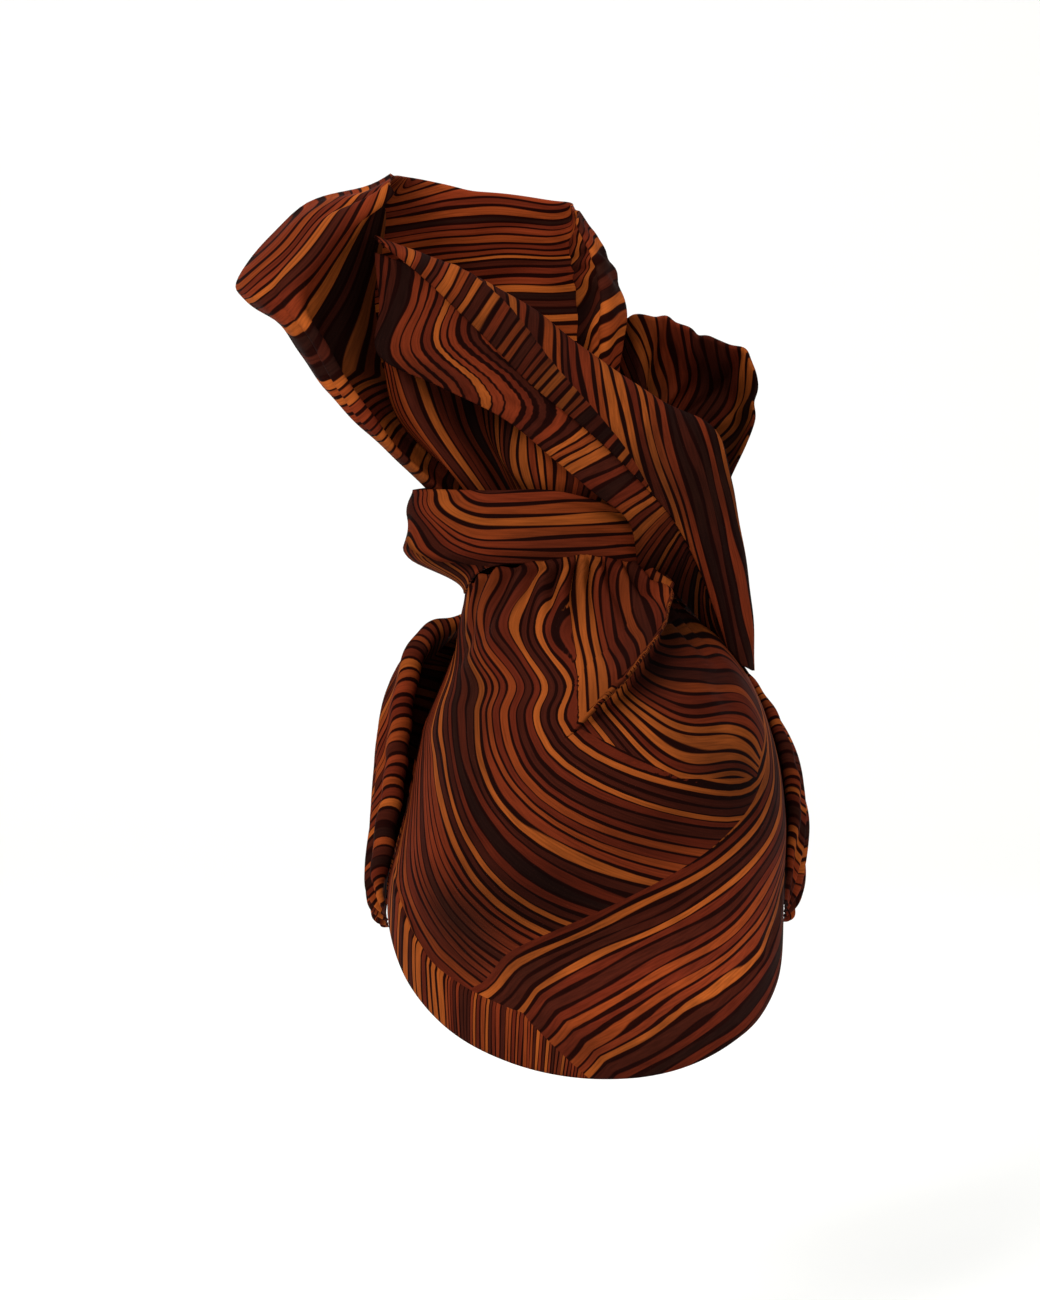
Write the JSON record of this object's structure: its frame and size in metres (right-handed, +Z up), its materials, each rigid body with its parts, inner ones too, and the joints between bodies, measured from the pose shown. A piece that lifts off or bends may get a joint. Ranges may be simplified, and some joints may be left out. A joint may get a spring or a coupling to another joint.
{
  "type": "turban headwrap",
  "caption": "Striped cotton headwrap worn as a turban: a gathered back cap and folded front band below a tall one-sided bow bound by a flat loop.",
  "frame": {"origin": "the crown of the wearer's head, on the head's upright axis, where the wrap sits", "axes": "+Z up, +Y towards the wearer's face, +X the wearer's right as seen from behind"},
  "size_m": [0.2667, 0.2178, 0.408],
  "materials": {
    "printed_cotton": "matt printed cotton",
    "printed_cotton_shaded": "matt printed cotton, inner folds"
  },
  "bodies": {
    "root": {"back_cap": "printed_cotton", "bow_loop": "printed_cotton", "front_band": "printed_cotton", "inner_panel": "printed_cotton", "knot_core": "printed_cotton_shaded", "right_lobe": "printed_cotton", "sash_lower": "printed_cotton", "sash_upper": "printed_cotton", "topknot_wrap": "printed_cotton"}
  },
  "joints": []
}
